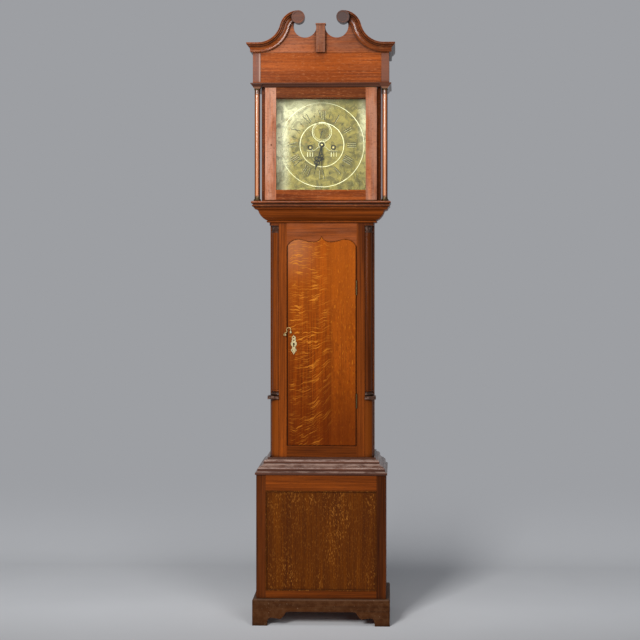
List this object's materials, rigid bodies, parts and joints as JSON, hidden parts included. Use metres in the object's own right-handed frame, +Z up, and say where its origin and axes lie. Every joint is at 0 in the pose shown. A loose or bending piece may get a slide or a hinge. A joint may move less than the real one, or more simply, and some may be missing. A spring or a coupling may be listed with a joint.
{
  "type": "longcase clock",
  "caption": "Tall floor-standing pendulum clock with a square dial, swan-neck hood, hinged trunk door, quarter columns and a weight-driven movement.",
  "frame": {"origin": "middle of the clock's footprint box on the floor", "axes": "+Z up, the dial faces -Y, the backboard is at +Y against the wall, +X to the viewer's right"},
  "size_m": [0.486, 0.2476, 2.0109],
  "materials": {
    "oak_dark": "worn dark oak, waxed",
    "oak_trunk": "amber-brown quarter-sawn oak, waxed",
    "mahogany": "red-brown mahogany, polished",
    "pine": "old unfinished softwood",
    "brass": "polished clock brass",
    "dial_brass": "engraved brass, dulled",
    "steel": "polished steel",
    "blued_steel": "blued steel",
    "bell_metal": "cast bell metal",
    "gut": "gut line",
    "glass": "old crown glass"
  },
  "bodies": {
    "case": {"backboard": "pine", "trunk_sides": "oak_trunk", "trunk_frame": "mahogany", "quarter_columns": "mahogany", "throat_moulding": "mahogany", "seatboard": "pine", "base_carcase": "oak_dark", "base_frame": "oak_dark", "base_panel": "oak_dark", "base_moulding": "mahogany", "plinth": "oak_dark", "case_brassware": "brass", "dial_plate": "dial_brass", "movement_plates": "brass", "movement_pillars": "brass", "bell": "bell_metal", "going_line": "gut", "strike_line": "gut"},
    "trunk_door": {"trunk_door": "oak_trunk", "door_brassware": "brass", "escutcheon": "brass", "door_lock": "steel"},
    "door_hook": {"door_hook": "brass"},
    "hood": {"hood_carcase": "oak_trunk", "frieze": "mahogany", "tympanum": "mahogany", "swan_necks": "mahogany", "finial_block": "mahogany", "frieze_moulding": "mahogany", "hood_base": "mahogany", "hood_columns": "mahogany", "column_ends": "brass", "dial_mask": "mahogany"},
    "hood_door": {"hood_door_frame": "mahogany", "hood_door_glass": "glass", "hood_door_hinges": "brass"},
    "pendulum": {"pendulum_rod": "steel", "pendulum_bob": "brass"},
    "pallets": {"pallets": "steel"},
    "centre_arbor": {"centre_wheel": "brass", "minute_hand": "blued_steel"},
    "going_great_wheel": {"going_great_wheel": "brass"},
    "going_barrel": {"going_barrel": "brass"},
    "third_wheel": {"third_wheel": "brass"},
    "escape_arbor": {"escape_wheel": "brass", "seconds_hand": "blued_steel"},
    "minute_wheel": {"minute_wheel": "brass"},
    "hour_pipe": {"hour_wheel": "brass", "hour_hand": "blued_steel"},
    "going_weight": {"going_weight": "brass"},
    "going_pulley": {"going_pulley": "brass"},
    "strike_weight": {"strike_weight": "brass"},
    "strike_pulley": {"strike_pulley": "brass"},
    "strike_great_wheel": {"strike_great_wheel": "brass"},
    "strike_barrel": {"strike_barrel": "brass"},
    "pin_wheel": {"pin_wheel": "brass"},
    "hoop_wheel": {"hoop_wheel": "brass"},
    "warning_wheel": {"warning_wheel": "brass"},
    "fly": {"fly": "brass"},
    "hammer": {"hammer": "steel"}
  },
  "joints": [
    {"name": "hood_slide", "type": "slide", "parent": "case", "child": "hood", "axis": [0, -1, 0], "range_m": [0, 0.3]},
    {"name": "hood_door_hinge", "type": "hinge", "parent": "hood", "child": "hood_door", "pos_m": [0.1798, -0.08825, 1.573], "axis": [0, 0, 1], "range_deg": [0, 100]},
    {"name": "trunk_door_hinge", "type": "hinge", "parent": "case", "child": "trunk_door", "pos_m": [0.1151, -0.05245, 0.911], "axis": [0, 0, 1], "range_deg": [0, 105]},
    {"name": "door_hook_pivot", "type": "hinge", "parent": "trunk_door", "child": "door_hook", "pos_m": [-0.1027, -0.05265, 0.9575], "axis": [0, 1, 0], "range_deg": [0, 100]},
    {"name": "pendulum_swing", "type": "hinge", "parent": "case", "child": "pendulum", "pos_m": [0, 0.09175, 1.64468], "axis": [0, 1, 0], "range_deg": [-2.5, 2.5]},
    {"name": "crutch_swing", "type": "hinge", "parent": "case", "child": "pallets", "pos_m": [-0.00003, 0.03675, 1.64468], "axis": [0, 1, 0], "range_deg": [-2.5, 2.5]},
    {"name": "minute_turn", "type": "hinge", "parent": "case", "child": "centre_arbor", "pos_m": [0, 0.01375, 1.5784], "axis": [0, 1, 0], "continuous": true},
    {"name": "going_great_turn", "type": "hinge", "parent": "case", "child": "going_great_wheel", "pos_m": [0.03828, 0.01475, 1.56991], "axis": [0, 1, 0], "continuous": true},
    {"name": "third_turn", "type": "hinge", "parent": "case", "child": "third_wheel", "pos_m": [0.00892, 0.03375, 1.60265], "axis": [0, 1, 0], "continuous": true},
    {"name": "seconds_turn", "type": "hinge", "parent": "case", "child": "escape_arbor", "pos_m": [-0.00003, 0.03375, 1.62142], "axis": [0, 1, 0], "continuous": true},
    {"name": "minute_wheel_turn", "type": "hinge", "parent": "case", "child": "minute_wheel", "pos_m": [0, -0.00125, 1.555], "axis": [0, 1, 0], "continuous": true},
    {"name": "hour_turn", "type": "hinge", "parent": "case", "child": "hour_pipe", "pos_m": [0, -0.01625, 1.5784], "axis": [0, 1, 0], "continuous": true},
    {"name": "going_weight_drop", "type": "slide", "parent": "case", "child": "going_weight", "axis": [0, 0, 1], "range_m": [0, 1.04], "deforming": ["going_line"]},
    {"name": "going_wind", "type": "hinge", "parent": "going_great_wheel", "child": "going_barrel", "pos_m": [0.03828, 0.03675, 1.56991], "axis": [0, 1, 0], "range_deg": [0, 5200]},
    {"name": "going_pulley_turn", "type": "hinge", "parent": "going_weight", "child": "going_pulley", "pos_m": [0.03728, 0.03675, 0.415], "axis": [0, 1, 0], "range_deg": [0, 2720]},
    {"name": "strike_weight_drop", "type": "slide", "parent": "case", "child": "strike_weight", "axis": [0, 0, 1], "range_m": [0, 1.04], "deforming": ["strike_line"]},
    {"name": "strike_wind", "type": "hinge", "parent": "strike_great_wheel", "child": "strike_barrel", "pos_m": [-0.03828, 0.03675, 1.56991], "axis": [0, 1, 0], "range_deg": [0, 5200]},
    {"name": "strike_pulley_turn", "type": "hinge", "parent": "strike_weight", "child": "strike_pulley", "pos_m": [-0.03928, 0.03675, 0.415], "axis": [0, 1, 0], "range_deg": [0, 2720]},
    {"name": "hoop_turn", "type": "hinge", "parent": "case", "child": "hoop_wheel", "pos_m": [-0.03622, 0.03375, 1.62667], "axis": [0, 1, 0], "continuous": true},
    {"name": "strike_great_turn", "type": "hinge", "parent": "case", "child": "strike_great_wheel", "pos_m": [-0.03828, 0.01475, 1.56991], "axis": [0, 1, 0], "continuous": true},
    {"name": "pin_turn", "type": "hinge", "parent": "case", "child": "pin_wheel", "pos_m": [-0.04435, 0.03375, 1.60434], "axis": [0, 1, 0], "continuous": true},
    {"name": "warning_turn", "type": "hinge", "parent": "case", "child": "warning_wheel", "pos_m": [-0.0395, 0.03375, 1.64528], "axis": [0, 1, 0], "continuous": true},
    {"name": "fly_turn", "type": "hinge", "parent": "case", "child": "fly", "pos_m": [-0.02881, 0.03375, 1.65598], "axis": [0, 1, 0], "continuous": true},
    {"name": "hammer_lift", "type": "hinge", "parent": "case", "child": "hammer", "pos_m": [-0.068, 0.03375, 1.6084], "axis": [0, 1, 0], "range_deg": [-12, 0]}
  ],
  "couplings": [
    {"joint": "crutch_swing", "follows": "pendulum_swing", "ratio": 1},
    {"joint": "going_great_turn", "follows": "minute_turn", "ratio": -0.083333},
    {"joint": "third_turn", "follows": "minute_turn", "ratio": -7.5},
    {"joint": "seconds_turn", "follows": "minute_turn", "ratio": 60},
    {"joint": "minute_wheel_turn", "follows": "minute_turn", "ratio": -1},
    {"joint": "hour_turn", "follows": "minute_turn", "ratio": 0.083333},
    {"joint": "going_wind", "follows": "going_weight_drop", "rad_per_m": 86.957},
    {"joint": "going_pulley_turn", "follows": "going_weight_drop", "rad_per_m": 45.455},
    {"joint": "strike_wind", "follows": "strike_weight_drop", "rad_per_m": 86.957},
    {"joint": "strike_pulley_turn", "follows": "strike_weight_drop", "rad_per_m": 45.455},
    {"joint": "strike_great_turn", "follows": "hoop_turn", "ratio": 0.011905},
    {"joint": "pin_turn", "follows": "hoop_turn", "ratio": -0.125},
    {"joint": "warning_turn", "follows": "hoop_turn", "ratio": -8},
    {"joint": "fly_turn", "follows": "hoop_turn", "ratio": 54.857}
  ]
}
